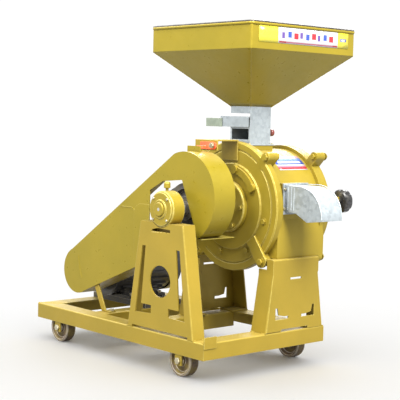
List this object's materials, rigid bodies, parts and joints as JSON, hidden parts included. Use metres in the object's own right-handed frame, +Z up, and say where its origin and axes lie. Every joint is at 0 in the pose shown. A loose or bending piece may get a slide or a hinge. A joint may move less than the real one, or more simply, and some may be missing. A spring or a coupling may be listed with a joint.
{
  "type": "hammer mill",
  "caption": "Belt-driven hammer mill on a wheeled frame: electric motor, drive guard, round grinding chamber with rear door, square hopper with slide gate and side outlet chute.",
  "frame": {"origin": "on the ground, under the centre of the bounding box", "axes": "+Z up; +X along the base from the motor end to the outlet end; +Y along the shafts from the outboard bearing to the chamber door"},
  "size_m": [1.294, 0.802, 1.373],
  "materials": {
    "yellow_frame_paint": "semi-gloss sprayed enamel",
    "yellow_cast_paint": "semi-gloss enamel on castings",
    "yellow_sheet_paint": "semi-gloss enamel on sheet",
    "rim_black": "dark painted edge",
    "galvanised": "galvanised sheet",
    "grey_green_paint": "satin paint",
    "bright_steel": "machined steel",
    "zinc_fasteners": "zinc-plated and oversprayed",
    "dark_iron": "bare cast iron",
    "wheel_iron": "cast iron with paint overspray",
    "motor_black": "black machine enamel",
    "black_plastic": "matt black moulding",
    "belt_rubber": "wrapped rubber",
    "red_paint": "red-orange enamel",
    "red_brown_plastic": "red-brown moulding"
  },
  "bodies": {
    "base": {"front_rail": "yellow_frame_paint", "back_rail": "yellow_frame_paint", "left_rail": "yellow_frame_paint", "right_rail": "yellow_frame_paint", "chamber_cross_member": "yellow_frame_paint", "motor_cross_member": "yellow_frame_paint", "wheel_forks": "yellow_frame_paint", "wheel_axles": "bright_steel", "bearing_pedestal": "yellow_frame_paint", "chamber_pedestal_right": "yellow_frame_paint", "chamber_pedestal_left": "yellow_frame_paint", "bearing_block": "yellow_cast_paint", "bearing_cap": "yellow_cast_paint", "shaft_bearings": "bright_steel", "grease_cup": "zinc_fasteners", "chamber_body": "yellow_cast_paint", "front_plate": "yellow_cast_paint", "bearing_housing": "yellow_cast_paint", "clamp_bar": "yellow_cast_paint", "chamber_bolts": "zinc_fasteners", "sieve": "bright_steel", "throat": "galvanised", "hopper": "yellow_sheet_paint", "hopper_rim": "rim_black", "outlet_chute": "galvanised", "small_bolts": "zinc_fasteners", "motor_frame": "motor_black", "motor_end_cover": "motor_black", "fan_cover": "motor_black", "terminal_box": "motor_black", "cable_gland": "black_plastic", "slide_rails": "yellow_sheet_paint", "v_belts": "belt_rubber", "guard_cover": "yellow_sheet_paint", "guard_panel": "yellow_sheet_paint", "guard_base_plate": "yellow_sheet_paint", "guard_bracket": "yellow_sheet_paint", "guard_strut": "yellow_sheet_paint", "door_hinge_pin": "bright_steel"},
    "wheel_front_left_body": {"wheel_front_left": "wheel_iron"},
    "wheel_front_right_body": {"wheel_front_right": "wheel_iron"},
    "wheel_back_left_body": {"wheel_back_left": "wheel_iron"},
    "wheel_back_right_body": {"wheel_back_right": "wheel_iron"},
    "rotor": {"main_shaft": "bright_steel", "driven_pulley": "dark_iron", "rotor_discs": "dark_iron", "hammer_pins": "bright_steel"},
    "hammer_row_1": {"hammers_1": "dark_iron"},
    "hammer_row_2": {"hammers_2": "dark_iron"},
    "hammer_row_3": {"hammers_3": "dark_iron"},
    "hammer_row_4": {"hammers_4": "dark_iron"},
    "motor_rotor": {"motor_shaft": "bright_steel", "motor_pulley": "dark_iron", "motor_fan": "black_plastic"},
    "door": {"back_door": "yellow_cast_paint"},
    "hand_screw": {"door_knob": "black_plastic"},
    "gate": {"slide_gate": "galvanised", "gate_handle": "grey_green_paint"},
    "throat_screw": {"throat_knob": "red_brown_plastic"},
    "latch": {"guard_latch": "red_paint"}
  },
  "joints": [
    {"name": "wheel_front_left_spin", "type": "hinge", "parent": "base", "child": "wheel_front_left_body", "pos_m": [-0.497, -0.349, 0.0625], "axis": [0, 1, 0], "continuous": true},
    {"name": "wheel_front_right_spin", "type": "hinge", "parent": "base", "child": "wheel_front_right_body", "pos_m": [0.319, -0.349, 0.0625], "axis": [0, 1, 0], "continuous": true},
    {"name": "wheel_back_left_spin", "type": "hinge", "parent": "base", "child": "wheel_back_left_body", "pos_m": [-0.497, 0.247, 0.0625], "axis": [0, 1, 0], "continuous": true},
    {"name": "wheel_back_right_spin", "type": "hinge", "parent": "base", "child": "wheel_back_right_body", "pos_m": [0.319, 0.247, 0.0625], "axis": [0, 1, 0], "continuous": true},
    {"name": "rotor_spin", "type": "hinge", "parent": "base", "child": "rotor", "pos_m": [0.205, 0, 0.64], "axis": [0, 1, 0], "continuous": true},
    {"name": "motor_spin", "type": "hinge", "parent": "base", "child": "motor_rotor", "pos_m": [-0.491, 0, 0.31], "axis": [0, 1, 0], "continuous": true},
    {"name": "hammer_row_1_swing", "type": "hinge", "parent": "rotor", "child": "hammer_row_1", "pos_m": [0.29339, 0.13, 0.72839], "axis": [0, 1, 0], "range_deg": [-275, 5]},
    {"name": "hammer_row_2_swing", "type": "hinge", "parent": "rotor", "child": "hammer_row_2", "pos_m": [0.11661, 0.13, 0.72839], "axis": [0, 1, 0], "range_deg": [-5, 275]},
    {"name": "hammer_row_3_swing", "type": "hinge", "parent": "rotor", "child": "hammer_row_3", "pos_m": [0.11661, 0.13, 0.55161], "axis": [0, 1, 0], "range_deg": [-95, 185]},
    {"name": "hammer_row_4_swing", "type": "hinge", "parent": "rotor", "child": "hammer_row_4", "pos_m": [0.29339, 0.13, 0.55161], "axis": [0, 1, 0], "range_deg": [-185, 95]},
    {"name": "door_swing", "type": "hinge", "parent": "base", "child": "door", "pos_m": [-0.072, 0.302, 0.64], "axis": [0, 0, 1], "range_deg": [0, 105]},
    {"name": "hand_screw_turn", "type": "hinge", "parent": "door", "child": "hand_screw", "pos_m": [0.482, 0.345, 0.668], "axis": [0, 1, 0], "range_deg": [0, 1080]},
    {"name": "gate_slide", "type": "slide", "parent": "base", "child": "gate", "axis": [-1, 0, 0], "range_m": [0, 0.108]},
    {"name": "throat_screw_turn", "type": "hinge", "parent": "base", "child": "throat_screw", "pos_m": [0.235, 0.173, 0.943], "axis": [0, 1, 0], "range_deg": [0, 720]},
    {"name": "latch_swing", "type": "hinge", "parent": "base", "child": "latch", "pos_m": [0.261, -0.17, 0.89], "axis": [0, 1, 0], "range_deg": [0, 80]}
  ],
  "couplings": [
    {"joint": "motor_spin", "follows": "rotor_spin", "ratio": 1.2121}
  ]
}
